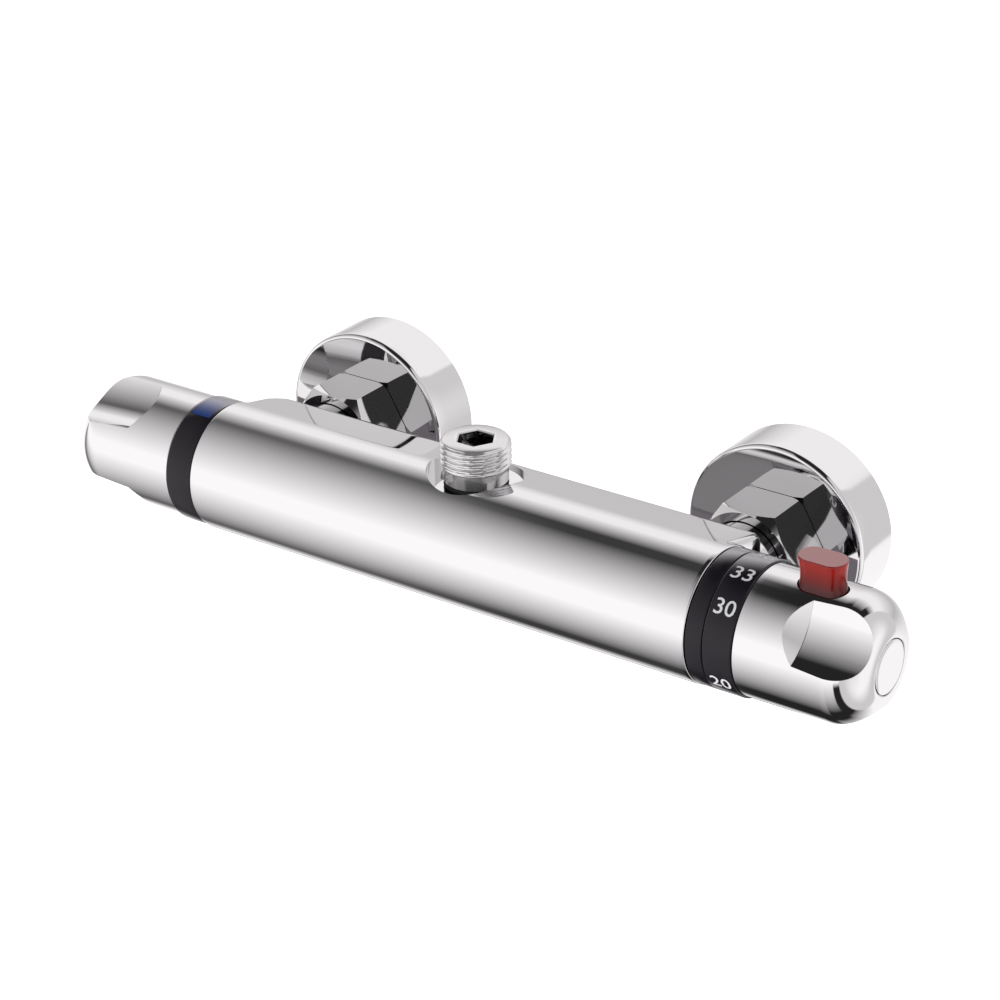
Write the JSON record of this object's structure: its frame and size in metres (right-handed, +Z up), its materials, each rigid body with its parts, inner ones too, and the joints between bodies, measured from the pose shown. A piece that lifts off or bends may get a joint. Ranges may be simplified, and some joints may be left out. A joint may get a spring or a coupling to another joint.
{
  "type": "thermostatic bar shower valve",
  "caption": "Exposed thermostatic bar shower valve: a chrome bar with a temperature handle and safety button, a flow handle, a threaded top outlet and wall unions with round plates.",
  "frame": {"origin": "midpoint between the hot and cold wall inlets, on the finished wall", "axes": "+X along the bar from the hot inlet to the cold inlet and the temperature handle, +Y into the wall, +Z up"},
  "size_m": [0.2797, 0.106, 0.0588],
  "materials": {
    "chrome": "mirror polished chrome on brass",
    "plain_brass": "machined brass inside the valve",
    "bare_thread": "nickel plated machined thread",
    "black_plastic": "gloss black plastic ring",
    "red_plastic": "gloss red plastic button",
    "blue_plastic": "gloss blue inlay",
    "white_plastic": "moulded plastic",
    "grey_plastic": "moulded plastic cartridge housing",
    "rubber": "rubber seal",
    "steel": "stainless steel",
    "ceramic": "lapped alumina",
    "copper": "copper alloy capsule"
  },
  "bodies": {
    "valve": {"valve_body": "chrome", "outlet_nipple": "bare_thread", "outlet_o_ring": "rubber", "cartridge_housing": "grey_plastic", "cartridge_o_rings": "rubber", "cartridge_retainer": "plain_brass", "spindle_o_ring": "rubber", "return_spring": "steel", "stop_ring": "black_plastic", "flow_ring": "black_plastic", "flow_mark": "blue_plastic", "headwork_body": "plain_brass", "headwork_o_ring": "rubber", "headwork_seal": "rubber", "fixed_ceramic_disc": "ceramic", "flow_spindle_o_ring": "rubber", "nut_retaining_rings": "steel", "inlet_seals": "rubber", "inlet_strainers": "steel", "hot_check_valve": "white_plastic", "cold_check_valve": "white_plastic", "hot_check_spring": "steel", "cold_check_spring": "steel", "check_valve_o_rings": "rubber", "hot_eccentric": "plain_brass", "cold_eccentric": "plain_brass", "hot_wall_plate": "chrome", "cold_wall_plate": "chrome"},
    "temperature_knob": {"temperature_handle": "chrome", "scale_ring": "black_plastic", "temperature_insert": "white_plastic", "temperature_screw": "steel", "temperature_end_disc": "chrome", "adjusting_spindle": "plain_brass", "button_spring": "steel"},
    "safety_button": {"safety_button": "red_plastic"},
    "adjusting_nut": {"adjusting_nut": "plain_brass"},
    "thermostat": {"wax_element": "copper", "mixing_piston": "white_plastic", "overload_spring": "steel"},
    "flow_knob": {"flow_handle": "chrome", "flow_insert": "white_plastic", "flow_screw": "steel", "flow_end_disc": "chrome", "flow_spindle": "plain_brass", "flow_spindle_clip": "steel", "turning_ceramic_disc": "ceramic"},
    "hot_poppet": {"hot_check_poppet": "white_plastic"},
    "cold_poppet": {"cold_check_poppet": "white_plastic"},
    "hot_nut": {"hot_union_nut": "chrome"},
    "cold_nut": {"cold_union_nut": "chrome"}
  },
  "joints": [
    {"name": "temperature_turn", "type": "hinge", "parent": "valve", "child": "temperature_knob", "pos_m": [0.11, -0.066, 0.006], "axis": [-1, 0, 0], "range_deg": [-105, 95]},
    {"name": "safety_button_press", "type": "slide", "parent": "temperature_knob", "child": "safety_button", "axis": [0, 0.0698, -0.9976], "range_m": [0, 0.0025], "stiffness_N_per_m": 400, "springref_m": -0.002, "deforming": ["button_spring"]},
    {"name": "adjusting_nut_slide", "type": "slide", "parent": "valve", "child": "adjusting_nut", "axis": [-1, 0, 0], "range_m": [-0.001, 0.001], "deforming": ["overload_spring"]},
    {"name": "thermostat_slide", "type": "slide", "parent": "valve", "child": "thermostat", "axis": [-1, 0, 0], "range_m": [-0.0005, 0.0005], "deforming": ["return_spring"]},
    {"name": "flow_turn", "type": "hinge", "parent": "valve", "child": "flow_knob", "pos_m": [-0.11, -0.066, 0.006], "axis": [-1, 0, 0], "range_deg": [0, 90]},
    {"name": "hot_check_slide", "type": "slide", "parent": "valve", "child": "hot_poppet", "axis": [0, -1, 0], "range_m": [0, 0.003], "stiffness_N_per_m": 60, "springref_m": -0.002, "deforming": ["hot_check_spring"]},
    {"name": "cold_check_slide", "type": "slide", "parent": "valve", "child": "cold_poppet", "axis": [0, -1, 0], "range_m": [0, 0.003], "stiffness_N_per_m": 60, "springref_m": -0.002, "deforming": ["cold_check_spring"]},
    {"name": "hot_nut_turn", "type": "hinge", "parent": "valve", "child": "hot_nut", "pos_m": [-0.075, -0.026, 0.006], "axis": [0, 1, 0], "continuous": true},
    {"name": "cold_nut_turn", "type": "hinge", "parent": "valve", "child": "cold_nut", "pos_m": [0.075, -0.026, 0.006], "axis": [0, 1, 0], "continuous": true}
  ],
  "couplings": [
    {"joint": "adjusting_nut_slide", "follows": "temperature_turn", "m_per_rad": 0.00054},
    {"joint": "thermostat_slide", "follows": "temperature_turn", "m_per_rad": 0.00027}
  ]
}
